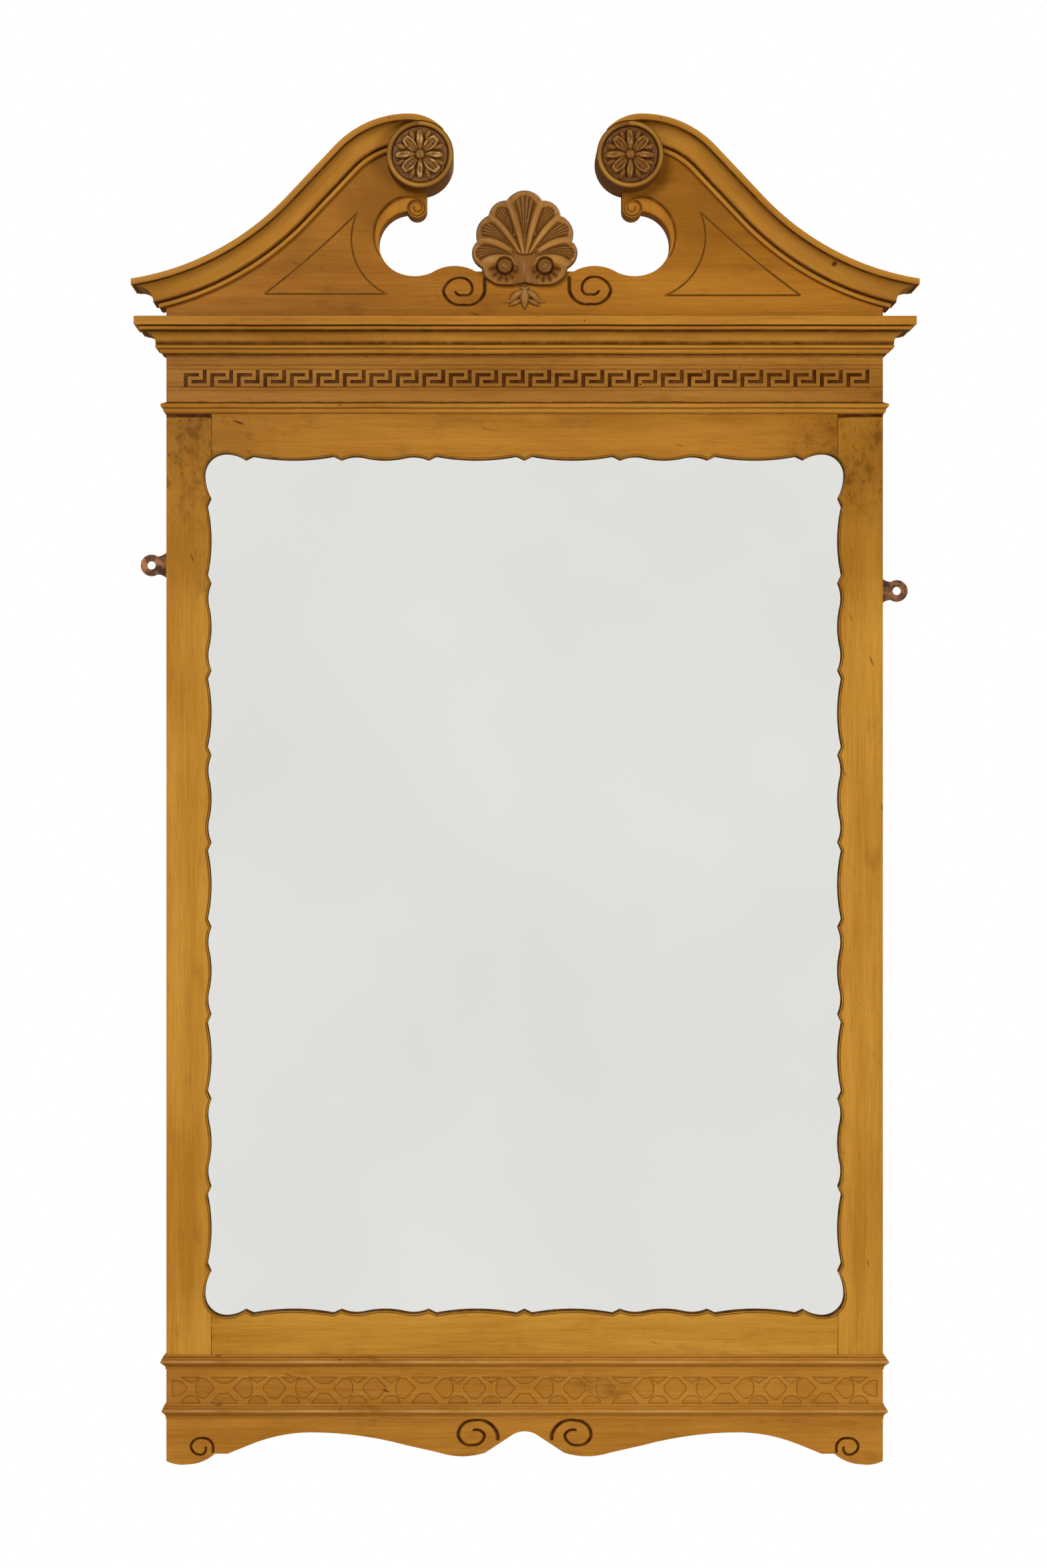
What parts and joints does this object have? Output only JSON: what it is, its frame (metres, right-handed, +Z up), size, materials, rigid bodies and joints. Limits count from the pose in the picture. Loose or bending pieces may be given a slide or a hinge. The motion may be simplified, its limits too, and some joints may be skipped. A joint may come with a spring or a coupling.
{
  "type": "pier mirror",
  "caption": "Tall wall mirror in a scalloped wooden frame with a swan-neck pediment, carved shell, rosettes, key frieze, blind-fret frieze and shaped apron, hung by side wall plates.",
  "frame": {"origin": "on the wall plane, behind the middle of the mirror plate", "axes": "+Z up, +Y towards the wall, so the mirror faces -Y; +X to the viewer's right"},
  "size_m": [0.752, 0.0595, 1.2947],
  "materials": {
    "frame_wood": "waxed, antiqued honey colour",
    "carved_wood": "waxed, dark glaze in the recesses",
    "mirror": "silvered glass with faint foxing",
    "back_wood": "bare, unfinished",
    "wall_plates": "brown, oxidised",
    "fasteners": "dull iron"
  },
  "bodies": {
    "root": {"apron": "frame_wood", "astragal_front": "frame_wood", "backboard_nails": "fasteners", "batten_screws": "fasteners", "bed_moulding_front": "frame_wood", "bottom_rail": "frame_wood", "centre_backboard": "back_wood", "cornice_front": "frame_wood", "fret_frieze": "frame_wood", "glass_blocks": "back_wood", "husk_drop": "carved_wood", "key_frieze": "frame_wood", "left_astragal_return": "frame_wood", "left_backboard": "back_wood", "left_bed_moulding_return": "frame_wood", "left_cornice_return": "frame_wood", "left_lower_batten": "back_wood", "left_lower_fret_bead_return": "frame_wood", "left_neck_return": "frame_wood", "left_rope_bead": "carved_wood", "left_rosette_drum": "carved_wood", "left_rosette_flower": "carved_wood", "left_stile": "frame_wood", "left_swan_neck": "frame_wood", "left_upper_batten": "back_wood", "left_upper_fret_bead_return": "frame_wood", "left_wall_plate": "wall_plates", "lower_fret_bead_front": "frame_wood", "mirror_plate": "mirror", "pediment_board": "frame_wood", "right_astragal_return": "frame_wood", "right_backboard": "back_wood", "right_bed_moulding_return": "frame_wood", "right_cornice_return": "frame_wood", "right_lower_batten": "back_wood", "right_lower_fret_bead_return": "frame_wood", "right_neck_return": "frame_wood", "right_rope_bead": "carved_wood", "right_rosette_drum": "carved_wood", "right_rosette_flower": "carved_wood", "right_stile": "frame_wood", "right_swan_neck": "frame_wood", "right_upper_batten": "back_wood", "right_upper_fret_bead_return": "frame_wood", "right_wall_plate": "wall_plates", "shell": "carved_wood", "top_rail": "frame_wood", "upper_fret_bead_front": "frame_wood", "wall_plate_screws": "fasteners"}
  },
  "joints": []
}
